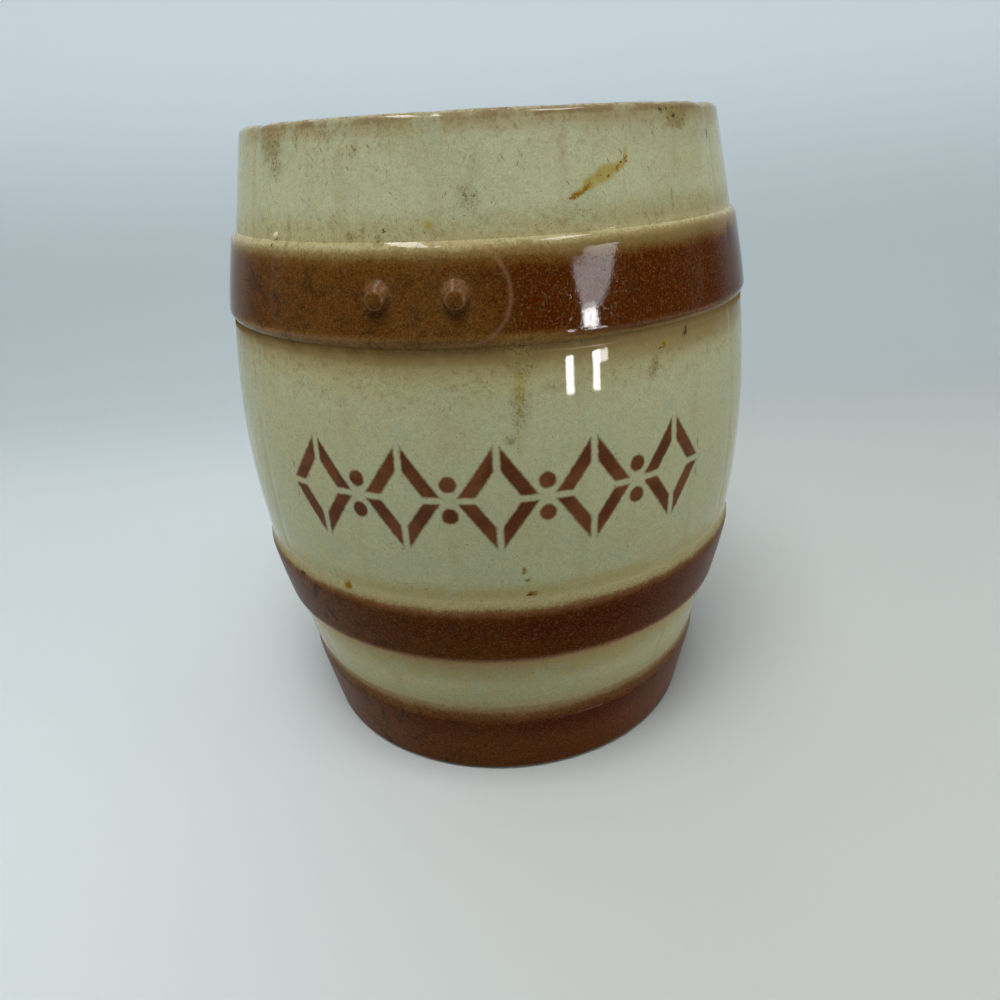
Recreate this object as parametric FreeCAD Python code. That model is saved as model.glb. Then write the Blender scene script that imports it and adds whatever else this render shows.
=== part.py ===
import FreeCAD, Part

import math
import os

# A grease jar cast in stoneware as a small hooped barrel. It stands on z = 0 with its axis on Z, and its
# front, where the upper hoop is lapped and riveted, looks along -Y. Sizes are millimetres and degrees.
# Angles round the barrel start at the front and grow towards +X.

# Stave face: an arc through the belly that runs on into straight, tangent ends.
RIM_HEIGHT = 165.0
BELLY_RADIUS = 70.5
BELLY_HEIGHT = 89.0
BULGE_RADIUS = 212.0            # of the arc, seen from the side
BULGE_HALF_HEIGHT = 45.5        # how far the arc runs above and below the belly
WALL = 5.5                      # at the rim and the foot; it varies by 0.7 where the inside is straight
CAVITY_RADIUS = 64.3            # of the inside, which runs straight up through the belly
CAVITY_STRAIGHT = (66.0, 112.0)
FLOOR_TOP = 8.0
FLOOR_CORNER = 9.0              # radius where the wall turns into the floor
LIP_OUTER_ROUND = 2.0
LIP_INNER_ROUND = 2.6
CORNER_FLATS = 2                # each of those corners is drawn as this many short tapers

# Foot: a bare ring round a shallow recess.
RECESS_DEPTH = 2.0
FOOT_RING_INNER_RADIUS = 47.0
RECESS_TAPER = 1.2              # the recess is this much narrower at its top

# Hoops: flat straps, straight from edge to edge, on straight seats of their own.
HOOP_RELIEF = 1.1
HOOP_BEVEL = 0.9                # height taken by each sloping edge
UPPER_HOOP = (122.5, 142.5)     # lowest and highest height
LOWER_HOOP = (43.5, 63.5)
FOOT_HOOP = (0.8, 25.0)
FOOT_HOOP_RELIEF = (1.6, 0.9)   # at its lowest and highest height

# Stave seams: shallow channels between the hoops. Staves differ in width, as sawn staves do.
SEAM_WIDTH = 2.0                # at the belly; it narrows with the barrel
SEAM_DEPTH = 0.35
SEAM_ANGLES = [-53.5, -27.0, -8.6, 15.0, 41.0, 57.0, 84.0, 104.0,
               130.0, 151.0, 177.0, 196.0, 221.0, 243.0, 268.0, 285.5]
SEAM_OVERRUN = 2.0              # how far its cutter stands out of the stave face and past the rim

# Lap: the strap's round end lies over its other end, highest at the tip and running out to the left.
LAP_TIP_ANGLE = 4.3
LAP_RISE = 0.45
LAP_SHIFT = 2.4                 # the strap's circle is moved this far towards the tip
LAP_THICKNESS = 0.7             # of the layer laid over the hoop, most of it sunk in the hoop
LAP_MARGIN = 0.7                # the strap's end is this much narrower than the hoop, each side
LAP_BEVEL = 0.5
LAP_END_RADIUS = 9.7
LAP_LEFT = 40.0                 # the overlapping length reaches this far left of the front

# Rivets: blunt cones with a spread foot, standing square to the hoop.
RIVET_ANGLES = {"hoop_rivet_left": -18.95, "hoop_rivet_right": -5.2}
RIVET_ON_HOOP = 132.4           # height of their centres
RIVET_RADIUS = 2.9
RIVET_SPREAD = 0.7              # how far the foot spreads, and how high the spread reaches
RIVET_RISE = 2.9                # above the hoop's plain face
RIVET_TIP_RADIUS = 1.7
RIVET_SEAT = 0.8                # how deep it is drawn into the hoop before the hoop is cut from it

BULGE_CENTRE = BELLY_RADIUS - BULGE_RADIUS
END_SLOPE = math.tan(math.asin(BULGE_HALF_HEIGHT / BULGE_RADIUS))


def point(radius, height):
    """A point of the half section, in the plane y = 0."""
    return FreeCAD.Vector(radius, 0, height)


def radius_at(height, offset=0.0):
    """Radius, at this height, of the line that runs offset outside the stave face."""
    bulge = BULGE_RADIUS + offset
    rise = abs(height - BELLY_HEIGHT)
    arc_end = BULGE_HALF_HEIGHT * bulge / BULGE_RADIUS
    on_arc = min(rise, arc_end)
    return BULGE_CENTRE + math.sqrt(bulge ** 2 - on_arc ** 2) - (rise - on_arc) * END_SLOPE


def wall_line(offset, low, high):
    """The line from low to high that far outside the stave face: round between the hoops, else straight."""
    heights = (low, (low + high) / 2, high)
    points = [point(radius_at(height, offset), height) for height in heights]
    if LOWER_HOOP[1] <= low and high <= UPPER_HOOP[0]:
        return Part.Arc(*points).toShape()
    return Part.LineSegment(points[0], points[2]).toShape()


def polyline(*points):
    return [Part.LineSegment(a, b).toShape() for a, b in zip(points, points[1:])]


def turned(edges, sweep=360):
    """A solid of revolution about Z from the edges of its closed half section."""
    wire = Part.Wire(Part.__sortEdges__(edges))
    return Part.Face(wire).revolve(FreeCAD.Vector(0, 0, 0), FreeCAD.Vector(0, 0, 1), sweep)


def corner(before, at, after, radius):
    """Points that take the corner between two straight runs round an arc, as short flats."""
    to_before = (before - at).normalize()
    to_after = (after - at).normalize()
    half = to_before.getAngle(to_after) / 2
    centre = at + (to_before + to_after).normalize() * (radius / math.sin(half))
    first = at + to_before * (radius / math.tan(half)) - centre
    last = at + to_after * (radius / math.tan(half)) - centre
    sweep = math.pi - 2 * half
    points = []
    for step in range(CORNER_FLATS + 1):
        turn = sweep * step / CORNER_FLATS
        points.append(centre + first * (math.sin(sweep - turn) / math.sin(sweep))
                      + last * (math.sin(turn) / math.sin(sweep)))
    return points


def place_round(shape, angle):
    """Turn a shape drawn on +X to its angle round the barrel."""
    placed = shape.copy()
    placed.rotate(FreeCAD.Vector(0, 0, 0), FreeCAD.Vector(0, 0, 1), angle - 90)
    return placed


def barrel_blank():
    """The body without its seams: wall, lip, floor and foot ring. It is straight under and past the hoops."""
    rim_out, neck_out, belly_top_out, belly_low_out, waist_out, foot_edge = [
        point(radius_at(height), height)
        for height in (RIM_HEIGHT, UPPER_HOOP[1], UPPER_HOOP[0], LOWER_HOOP[1], LOWER_HOOP[0], 0)]
    rim_in, floor_edge = [point(radius_at(height, -WALL), height) for height in (RIM_HEIGHT, FLOOR_TOP)]
    belly_low_in, belly_top_in = [point(CAVITY_RADIUS, height) for height in CAVITY_STRAIGHT]
    floor_centre = point(0, FLOOR_TOP)

    straights = polyline(belly_top_out,
                         neck_out,
                         *corner(neck_out, rim_out, rim_in, LIP_OUTER_ROUND),
                         *corner(rim_out, rim_in, belly_top_in, LIP_INNER_ROUND),
                         belly_top_in,
                         belly_low_in,
                         *corner(belly_low_in, floor_edge, floor_centre, FLOOR_CORNER),
                         floor_centre,
                         point(0, RECESS_DEPTH),
                         point(FOOT_RING_INNER_RADIUS - RECESS_TAPER, RECESS_DEPTH),
                         point(FOOT_RING_INNER_RADIUS, 0),
                         foot_edge,
                         waist_out,
                         belly_low_out)
    return turned([wall_line(0, LOWER_HOOP[1], UPPER_HOOP[0]), *straights])


def seam_cutter(low, high):
    """One stretch of a seam, centred on +X: a narrow sector of a shell that reaches into the stave face."""
    floor, cover = [wall_line(offset, low, high) for offset in (-SEAM_DEPTH, SEAM_OVERRUN)]
    ends = [Part.LineSegment(floor.Vertexes[end].Point, cover.Vertexes[end].Point).toShape()
            for end in (0, 1)]
    width = math.degrees(SEAM_WIDTH / BELLY_RADIUS)
    cutter = turned([floor, cover, *ends], width)
    cutter.rotate(FreeCAD.Vector(0, 0, 0), FreeCAD.Vector(0, 0, 1), -width / 2)
    return cutter


def barrel_wall():
    cutters = [seam_cutter(UPPER_HOOP[1], RIM_HEIGHT + SEAM_OVERRUN),
               seam_cutter(LOWER_HOOP[1], UPPER_HOOP[0]),
               seam_cutter(FOOT_HOOP[1], LOWER_HOOP[0])]
    return barrel_blank().cut([place_round(cutter, angle) for angle in SEAM_ANGLES for cutter in cutters])


def strap(seat_low, seat_high, face_low, face_high, bevel):
    """A ring with a straight face on a straight seat; its edges slope over the height of the bevel."""
    slope = (face_high.x - face_low.x) / (face_high.z - face_low.z)
    inset = point(bevel * slope, bevel)
    return turned(polyline(seat_low, face_low + inset, face_high - inset, seat_high, seat_low))


def hoop(low, high):
    return strap(point(radius_at(low), low),
                 point(radius_at(high), high),
                 point(radius_at(low, HOOP_RELIEF), low),
                 point(radius_at(high, HOOP_RELIEF), high),
                 HOOP_BEVEL)


def foot_hoop():
    """The lowest hoop, a little prouder at the foot."""
    low, high = FOOT_HOOP
    return strap(point(radius_at(low), low),
                 point(radius_at(high), high),
                 point(radius_at(low) + FOOT_HOOP_RELIEF[0], low),
                 point(radius_at(high) + FOOT_HOOP_RELIEF[1], high),
                 HOOP_BEVEL)


def lap_outline():
    """A bar from front to back whose side view is the strap's round end."""
    height = sum(UPPER_HOOP) / 2
    tip_x = radius_at(height, HOOP_RELIEF) * math.sin(math.radians(LAP_TIP_ANGLE))
    centre_x = tip_x - LAP_END_RADIUS
    width = UPPER_HOOP[1] - UPPER_HOOP[0]
    depth = BELLY_RADIUS / 2
    straight = Part.makeBox(LAP_LEFT + centre_x, depth, width,
                            FreeCAD.Vector(-LAP_LEFT, -BELLY_RADIUS, height - width / 2))
    end = Part.makeCylinder(LAP_END_RADIUS, depth, FreeCAD.Vector(centre_x, -BELLY_RADIUS, height),
                            FreeCAD.Vector(0, 1, 0))
    return straight.fuse(end)


def strap_end():
    """The overlapping end: a strap about a shifted centre, trimmed to the round end."""
    low = UPPER_HOOP[0] + LAP_MARGIN
    high = UPPER_HOOP[1] - LAP_MARGIN
    face_offset = HOOP_RELIEF + LAP_RISE - LAP_SHIFT
    seat_offset = face_offset - LAP_THICKNESS
    layer = strap(point(radius_at(low, seat_offset), low),
                  point(radius_at(high, seat_offset), high),
                  point(radius_at(low, face_offset), low),
                  point(radius_at(high, face_offset), high),
                  LAP_BEVEL)
    turn = math.radians(LAP_TIP_ANGLE)
    layer.translate(FreeCAD.Vector(LAP_SHIFT * math.sin(turn), -LAP_SHIFT * math.cos(turn), 0))
    return layer.common(lap_outline())


def upper_hoop():
    return hoop(*UPPER_HOOP).fuse(strap_end())


def rivet(angle, seat):
    """A blunt cone with a spread foot, seated on the hoop's face and square to it."""
    foot_radius = RIVET_RADIUS + RIVET_SPREAD
    head = turned(polyline(point(0, -RIVET_SEAT),
                           point(foot_radius, -RIVET_SEAT),
                           point(RIVET_RADIUS, RIVET_SPREAD),
                           point(RIVET_TIP_RADIUS, RIVET_RISE),
                           point(0, RIVET_RISE),
                           point(0, -RIVET_SEAT)))
    low, high = [point(radius_at(height, HOOP_RELIEF), height) for height in UPPER_HOOP]
    along = (high - low).normalize()
    lean = math.degrees(math.atan2(-along.x, along.z))
    head.rotate(FreeCAD.Vector(0, 0, 0), FreeCAD.Vector(0, 1, 0), 90 - lean)
    head.translate(low + along * ((RIVET_ON_HOOP - low.z) / along.z))
    return place_round(head, angle).cut(seat)


def save(name, shape):
    solids = shape.Solids
    assert len(solids) == 1 and shape.isValid(), name
    solids[0].exportStep(os.path.join("parts", name + ".step"))
    print(f"{name}: {shape.Volume / 1000:.2f} cm3, {len(shape.Faces)} faces")


def main():
    os.makedirs("parts", exist_ok=True)
    banded = upper_hoop()
    save("barrel_wall", barrel_wall())
    save("upper_hoop", banded)
    save("lower_hoop", hoop(*LOWER_HOOP))
    save("foot_hoop", foot_hoop())
    for name, angle in RIVET_ANGLES.items():
        save(name, rivet(angle, banded))


main()
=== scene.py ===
import bpy
import math
import numpy as np
from mathutils import Matrix, Vector


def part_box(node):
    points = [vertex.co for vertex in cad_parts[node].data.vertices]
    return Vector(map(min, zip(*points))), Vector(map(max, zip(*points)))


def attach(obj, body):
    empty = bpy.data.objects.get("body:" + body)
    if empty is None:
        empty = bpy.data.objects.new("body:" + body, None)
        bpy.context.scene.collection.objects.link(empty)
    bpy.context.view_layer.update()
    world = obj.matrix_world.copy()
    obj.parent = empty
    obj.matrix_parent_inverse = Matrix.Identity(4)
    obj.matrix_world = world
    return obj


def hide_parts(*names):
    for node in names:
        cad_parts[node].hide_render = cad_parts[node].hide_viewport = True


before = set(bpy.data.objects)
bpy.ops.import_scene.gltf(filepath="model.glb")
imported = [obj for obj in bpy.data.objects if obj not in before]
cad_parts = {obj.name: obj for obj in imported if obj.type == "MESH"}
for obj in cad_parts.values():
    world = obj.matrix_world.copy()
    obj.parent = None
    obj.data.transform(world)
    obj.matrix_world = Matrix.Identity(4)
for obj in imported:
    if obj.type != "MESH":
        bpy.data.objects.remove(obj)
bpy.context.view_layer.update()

# Grease jar: a stoneware barrel with three brown hoops. The frame is in metres; numbers here are
# millimetres and degrees unless a name says otherwise. Angles start at the front (-Y) and grow towards +X.

mm = 0.001
wallHigh = [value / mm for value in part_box("barrel_wall")[1]]


def nodeHeights(node):
    low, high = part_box(node)
    return low[2] / mm, high[2] / mm


# ---- shape of the staves ----

barrel = {
    "rimHeight": wallHigh[2],
    "bellyRadius": wallHigh[0] - 0.06,  # a hair inside the frame's box
    "bellyHeight": 89.0,
    "bulgeRadius": 212.0,  # side view: an arc that runs on into straight ends
    "bulgeHalfHeight": 45.5,
    "wall": 5.5, "floorTop": 8.0, "floorCorner": 9.0, "lipOuterRound": 2.0, "lipInnerRound": 2.6,
    "recessDepth": 2.0, "ringInner": 47.0, "footRound": 0.9,
}

seams = {
    "angles": [-53.5, -27, -8.6, 15, 41, 57, 84, 104,
               130, 151, 177, 196, 221, 243, 268, 285.5],
    "depth": {-53.5: 0.11, 15.0: 0, 57.0: 0.11, 84.0: 0.22, 285.5: 0.22},
    "plainDepth": 0.09,  # of every seam not named above; the glaze has nearly filled them
    "crown": 0.05,  # staves fall away by this much towards their seams
    "halfWidth": 1.2, "crownWidth": 5, "stainWidth": 1.3, "dipWidth": 3.2,
    "rimDip": {-53.5: 0.4, 57.0: 0.4, -8.6: 0.12, 15.0: 0.12, 41.0: 0.12},  # the lip sags there
    "dipHeight": 9,  # height below the rim over which it does
}

wobble = {"amount": 0.05, "turns": (3, 5, 8), "lengths": (61, 37, 23), "inside": 0.5}


def staveRadius(z):
    # bulge centre + square root of (bulge radius squared - rise squared); straight past the arc's ends
    rise = np.abs(z - barrel["bellyHeight"])
    onArc = np.minimum(rise, barrel["bulgeHalfHeight"])
    slope = math.tan(math.asin(barrel["bulgeHalfHeight"] / barrel["bulgeRadius"]))
    centre = barrel["bellyRadius"] - barrel["bulgeRadius"]
    return centre + np.sqrt(barrel["bulgeRadius"] ** 2 - onArc ** 2) - (rise - onArc) * slope


def staveTilt(z):
    # the angle of the face's normal above the level
    rise = np.clip(z - barrel["bellyHeight"], -barrel["bulgeHalfHeight"], barrel["bulgeHalfHeight"])
    return np.arcsin(rise / barrel["bulgeRadius"])


def radiusAt(height):
    return float(staveRadius(height))


def leanAt(height):
    # cosine of the face's tilt
    return math.cos(float(staveTilt(height)))


def softStep(value):
    # 0 below 0, 1 above 1, and 3t^2 - 2t^3 between
    t = np.clip(value, 0, 1)
    return t * t * (3.0 - 2.0 * t)


def bell(distance, width):
    # 1 in the middle, fading to 0 on both sides: e to the power -(distance / width)^2
    return np.exp(-(distance / width) ** 2)


def angleGap(theta, angle):
    # signed difference in degrees, wrapped to -180..180
    return (theta - angle + 180) % 360.0 - 180.0


def seamDistance(theta, z):
    # distance in mm round the barrel to the nearest seam
    gaps = [np.abs(angleGap(theta, angle)) for angle in seams["angles"]]
    return np.radians(np.minimum.reduce(gaps)) * staveRadius(z)


def wobbleAt(theta, z):
    # a sum of slow sine waves round and up the barrel, never outward
    total = sum(np.sin(turns * np.radians(theta) + z / length * 2.0 * math.pi + turns)
                for turns, length in zip(wobble["turns"], wobble["lengths"]))
    return wobble["amount"] * (total / len(wobble["turns"]) - 1)


def grooveDepth(theta, z):
    # a bell-shaped groove at each seam
    depth = np.zeros(np.broadcast(theta, z).shape)
    for angle in seams["angles"]:
        across = np.radians(angleGap(theta, angle)) * staveRadius(z)
        deep = seams["depth"].get(angle, seams["plainDepth"])
        depth = np.maximum(depth, deep * bell(across, seams["halfWidth"]))
    return depth


def staveRelief(theta, z):
    # the grooves, and a slight crown across each stave
    crown = seams["crown"] * bell(seamDistance(theta, z), seams["crownWidth"])
    return wobbleAt(theta, z) - grooveDepth(theta, z) - crown


def seamField(theta, z):
    # how near a seam is, for the stain that gathers in it
    return bell(seamDistance(theta, z), seams["stainWidth"])


def facePoints(theta, z, out):
    # the stave face at (angle, height), moved out along its normal; columns are x, y, z in mm
    tilt = staveTilt(z)
    radius = staveRadius(z) + out * np.cos(tilt)
    angle = np.radians(theta)
    axes = np.broadcast_arrays(radius * np.sin(angle), -radius * np.cos(angle), z + out * np.sin(tilt))
    return np.stack(axes, axis=-1)


# ---- meshes ----

columns = {
    "frontHalf": 76,  # fine this far to both sides of the front
    "besideSeam": (-1.7, -1.2, -0.8, -0.4, 0, 0.4, 0.8, 1.2, 1.7),
    "leastGap": 0.14,
}


def gridFaces(rows, across, wrapRows, wrapColumns):
    # quads of a grid of points numbered row by row
    i = np.arange(rows if wrapRows else rows - 1)[:, None]
    j = np.arange(across if wrapColumns else across - 1)[None, :]
    nextRow, nextColumn = (i + 1) % rows, (j + 1) % across
    quads = [i * across + j, i * across + nextColumn, nextRow * across + nextColumn, nextRow * across + j]
    return np.stack(np.broadcast_arrays(*quads), axis=-1).reshape(-1, 4).tolist()


def tubeFaces(rows, across, step):
    # a tube's quads, then triangles that close its first and its last row, each to a pole numbered after the
    # grid's points; step -1 turns every face round
    pole, last = rows * across, (rows - 1) * across
    faces = gridFaces(rows, across, False, True)
    faces += [[pole, (j + 1) % across, j] for j in range(across)]
    faces += [[pole + 1, last + j, last + (j + 1) % across] for j in range(across)]
    return [face[::step] for face in faces]


def withPoles(values, ends=(0, 0)):
    # a grid's values, then those at its two poles
    return np.append(np.ravel(values), ends)


def addBody(name, data, middle=(0, 0, 0), turn=Matrix.Identity(3)):
    # an object placed by its middle in mm and a 3 by 3 turn
    body = bpy.data.objects.new(name, data)
    body.matrix_world = Matrix.Translation(Vector(middle) * mm) @ turn.to_4x4()
    bpy.context.collection.objects.link(body)
    return body


def makeBody(name, parts, faces, material):
    # a smooth mesh from grids of points in mm
    mesh = bpy.data.meshes.new(name)
    points = np.concatenate([np.reshape(part, (-1, 3)) for part in parts])
    mesh.from_pydata((points * mm).tolist(), [], faces)
    mesh.polygons.foreach_set("use_smooth", np.ones(len(mesh.polygons), dtype=bool))
    mesh.materials.append(material)
    return addBody(name, mesh)


def makePiece(name, parts, faces, fields, material, node=None):
    piece = makeBody(name, parts, faces, material)
    for fieldName, values in fields.items():
        layer = piece.data.attributes.new(fieldName, "FLOAT", "POINT")
        layer.data.foreach_set("value", np.ascontiguousarray(values, dtype=np.float32).ravel())
    piece.data.update()
    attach(piece, "root")
    if node:
        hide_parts(node)
    print(f"{name}: {len(piece.data.polygons)} faces")


def roundColumns(fine, coarse, extra=()):
    # a row of angles round the barrel: fine in front, coarse behind, with more beside each seam
    half = columns["frontHalf"]
    front = np.arange(-half, half, fine)
    back = np.arange(half, 360.0 - half, coarse)
    atSeams = (np.array(seams["angles"])[:, None] + columns["besideSeam"]).ravel()
    every = np.sort(np.concatenate([front, back, atSeams, extra]) % 360)
    keep = np.diff(every, append=every[0] + 360) > columns["leastGap"]
    return every[keep][None, :]


# ---- stains, worked out on the points ----

stainFray = {"rust": 1, "ochre": 1, "scorch": 1.8, "soot": 1.3}  # how torn the edges of each kind are

# by kind and place: angle, height, half length, half width, slant (0 is upright, 90 is level), strength
stains = {
    ("rust", "smear"): [(16.6, 149, 1.5, 0.6, 72, 0.95), (18.6, 149.9, 1.6, 0.7, 52, 0.8),
        (19.6, 151, 1.1, 1, 40, 0.55), (26, 153.5, 0.8, 0.7, 30, 0.8), (27.9, 154.8, 0.8, 0.6, 0, 0.85)],
    ("ochre", "smear"): [(17.4, 149.4, 2.4, 0.9, 66, 0.85), (19.8, 151, 1.8, 1.6, 50, 0.9),
        (22.8, 152.5, 3.2, 1.9, 66, 0.88), (26.6, 153.9, 1.9, 1, 60, 0.86), (28.3, 156.2, 2.4, 0.7, 8, 0.72),
        (25.2, 153.4, 2, 1.3, 60, 0.86)],
    ("soot", "smear"): [(22.2, 152.5, 0.6, 0.5, 0, 0.72), (21.4, 153.5, 0.5, 0.5, 0, 0.66),
        (24.2, 152.4, 0.7, 0.5, 60, 0.72), (28.5, 157.4, 0.5, 0.4, 0, 0.7), (23.6, 154, 0.4, 0.4, 0, 0.84),
        (25.4, 152.6, 0.4, 0.4, 0, 0.84), (26.8, 154.6, 0.5, 0.4, 0, 0.84), (20.6, 152.4, 0.4, 0.4, 0, 0.8)],
    ("scorch", "drips"): [(4.8, 120, 3.6, 4.6, 90, 0.78), (4.4, 110, 6, 2.6, 0, 0.62)],
    ("ochre", "drips"): [(4.5, 113.5, 7.5, 2, 2, 0.58), (4.1, 104, 7.5, 1.3, -1, 0.52),
        (4.7, 68.2, 2.4, 1, 4, 0.45), (4.6, 76, 3.5, 1.8, 20, 0.36)],
    ("rust", "drips"): [(4.2, 71.6, 1.4, 0.9, 4, 0.8), (4.6, 69, 1.1, 0.9, 0, 0.85),
        (5.8, 64.9, 1.1, 1.9, 10, 0.85)],
    ("soot", "drips"): [(4.6, 68.6, 0.6, 0.5, 0, 0.8), (5, 64.6, 0.45, 1.4, 10, 0.95)],
    ("ochre", "spots"): [(-33.4, 63.6, 1.9, 1.6, 30, 0.95), (33.4, 118.8, 1.6, 1.2, 20, 0.7)],
    ("rust", "spots"): [(-33.2, 63.2, 1.5, 1.3, 20, 0.95), (33, 118.4, 1.2, 0.9, 20, 0.8),
        (29.6, 113.4, 1.6, 0.7, 0, 0.56)],
    ("soot", "spots"): [(31.9, 118, 0.5, 0.5, 20, 0.8), (38.6, 120, 1.7, 0.7, 12, 1.05),
        (43.5, 104.4, 0.7, 0.7, 0, 0.8), (12.5, 96, 0.6, 0.6, 0, 0.6), (61.1, 163.2, 0.5, 0.6, 0, 0.85),
        (56.3, 158.7, 1.9, 0.55, 4, 0.85), (66.8, 78.9, 0.7, 1.5, 20, 0.9),
        (9.8, 140.4, 0.45, 0.45, 0, 0.95)],
    ("scorch", "spots"): [(30.2, 114.2, 3, 1.6, 20, 0.95), (2.6, 103.2, 1.2, 1.5, 60, 0.95),
        (38.8, 146.8, 2.6, 0.8, 0, 0.8)],
    ("scorch", "lip"): [(-46.6, 160.6, 3.8, 5.6, 20, 0.86), (-44.4, 156.6, 2.6, 3, 0, 0.74),
        (-38, 163.4, 1.2, 5.5, 88, 0.72), (-31, 162.6, 2.4, 1.8, 30, 0.52), (-24, 159, 2.6, 1.6, 30, 0.48),
        (-2.5, 150, 2.8, 3.6, 60, 0.62), (-1, 155, 3.2, 1.8, 10, 0.46), (43.4, 162.4, 4.4, 3, 90, 1.3),
        (30, 164, 0.9, 8, 90, 0.4)],
    ("soot", "lip"): [(-45, 158.6, 0.8, 0.7, 0, 0.72), (-43.4, 157, 0.6, 0.5, 0, 0.66),
        (-2.6, 150.2, 0.6, 0.9, 50, 0.62), (42.4, 162.2, 1.1, 0.9, 80, 0.72),
        (44.8, 163, 0.9, 0.7, 80, 0.72), (43.4, 160.9, 0.7, 0.5, 60, 0.66),
        (38.4, 163.2, 0.8, 0.8, 60, 0.9), (40.6, 163.8, 0.5, 0.6, 80, 0.72)],
    ("scorch", "hoops"): [(-40, 143.4, 1, 6, 88, 0.66), (-22, 143.4, 0.8, 4.5, 88, 0.66),
        (-24.8, 143.6, 1.6, 1.2, 90, 0.9), (-18.8, 142.6, 1.4, 1.2, 0, 0.86)],
    ("soot", "hoops"): [(-44.6, 141.5, 0.5, 0.9, 60, 0.6), (-33.8, 135.8, 1.2, 4, 80, 0.52),
        (-42, 130.5, 1.6, 3, 70, 0.58), (-38.6, 134.6, 1.2, 2, 20, 0.58), (-36, 127.6, 1.6, 1, 20, 0.56),
        (-52, 133, 1, 0.5, 0, 0.7), (58.8, 136.6, 3.6, 1.7, 4, 1.05), (-17.7, 144.4, 1.3, 0.5, -45, 0.74),
        (53.6, 131.5, 2, 0.8, -6, 0.5), (-45, 56.5, 4.4, 0.9, 28, 1.2), (-41, 51.5, 3.8, 0.8, -32, 1.1),
        (-48.5, 60.5, 1.8, 0.9, 70, 0.85), (-38, 2.6, 1.4, 3.6, 76, 0.7)],
    ("ochre", "hoops"): [(-9.8, 145.2, 1.5, 1.4, 0, 0.62)],
}


def stainField(kind, theta, z):
    # the strongest of the stains of one kind: a soft-edged ellipse round each centre
    field = np.zeros(np.broadcast(theta, z).shape)
    rows = [row for (rowKind, place), group in stains.items() if rowKind == kind for row in group]
    for angle, height, halfLength, halfWidth, slant, strength in rows:
        across = np.radians(angleGap(theta, angle)) * staveRadius(z)
        up = z - height
        turn = math.radians(slant)
        along = across * math.sin(turn) + up * math.cos(turn)
        aside = across * math.cos(turn) - up * math.sin(turn)
        distance = np.sqrt((along / halfLength) ** 2 + (aside / halfWidth) ** 2)
        field = np.maximum(field, strength * (1.0 - softStep((distance - 0.25) / 1.2)))
    return field


# ---- glaze ----

def paint(red, green, blue):
    # a display colour, 0 to 255, as the linear colour that shaders take
    values = np.array([red, green, blue]) / 255.0
    linear = np.where(values <= 0.04045, values / 12.92, ((values + 0.055) / 1.055) ** 2.4)
    return (*[float(value) for value in linear], 1)


class NodeDesk:
    # the node tree of a material or a world, with short calls for the nodes used here

    def __init__(self, owner):
        owner.use_nodes = True
        self.owner = owner
        self.nodes, self.links = owner.node_tree.nodes, owner.node_tree.links
        self.nodes.clear()

    def put(self, socket, value):
        if isinstance(value, bpy.types.NodeSocket):
            self.links.new(value, socket)
        else:
            socket.default_value = value

    def add(self, kind, inputs=None, **settings):
        node = self.nodes.new("ShaderNode" + kind)
        for key, value in settings.items():
            setattr(node, key, value)
        for key, value in (inputs or {}).items():
            self.put(node.inputs[key], value)
        return node

    def calc(self, operation, *values):
        return self.add("Math", dict(enumerate(values)), operation=operation).outputs[0]

    def chain(self, operation, values):
        total = values[0]
        for value in values[1:]:
            total = self.calc(operation, total, value)
        return total

    def times(self, *values):
        return self.chain("MULTIPLY", values)

    def plus(self, *values):
        return self.chain("ADD", values)

    def minus(self, *values):
        return self.chain("SUBTRACT", values)

    def most(self, *values):
        return self.chain("MAXIMUM", values)

    def between(self, value, low, high, toLow=0, toHigh=1):
        inputs = {"Value": value, "From Min": low, "From Max": high, "To Min": toLow, "To Max": toHigh}
        return self.add("MapRange", inputs, interpolation_type="SMOOTHSTEP").outputs[0]

    def noise(self, where, scale, detail=2, roughness=0.55):
        inputs = {"Vector": where, "Scale": scale, "Detail": detail, "Roughness": roughness}
        return self.add("TexNoise", inputs).outputs["Fac"]

    def cells(self, where, scale):
        return self.add("TexVoronoi", {"Vector": where, "Scale": scale}).outputs["Distance"]

    def mix(self, amount, first, second, mode="MIX"):
        node = self.add("Mix", {0: amount, 6: first, 7: second}, data_type="RGBA", blend_type=mode)
        return node.outputs[2]

    def ramp(self, value, stops):
        node = self.add("ValToRGB", {"Fac": value})
        node.color_ramp.interpolation = "EASE"
        spots = node.color_ramp.elements
        while len(spots) < len(stops):
            spots.new(0.5)
        for spot, (place, colour) in zip(spots, stops):
            spot.position = place
            spot.color = colour
        return node.outputs["Color"]

    def centred(self, value, amount):
        # a noise made to swing about 0, amount wide
        return self.times(self.minus(value, 0.5), amount)

    def axes(self, vector):
        return self.add("SeparateXYZ", {0: vector}).outputs

    def attribute(self, name):
        return self.add("Attribute", attribute_name=name).outputs["Fac"]

    def finish(self, inputs, kind="BsdfPrincipled", output="OutputMaterial"):
        self.links.new(self.add(kind, inputs).outputs[0], self.add(output).inputs["Surface"])
        return self.owner


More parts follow.
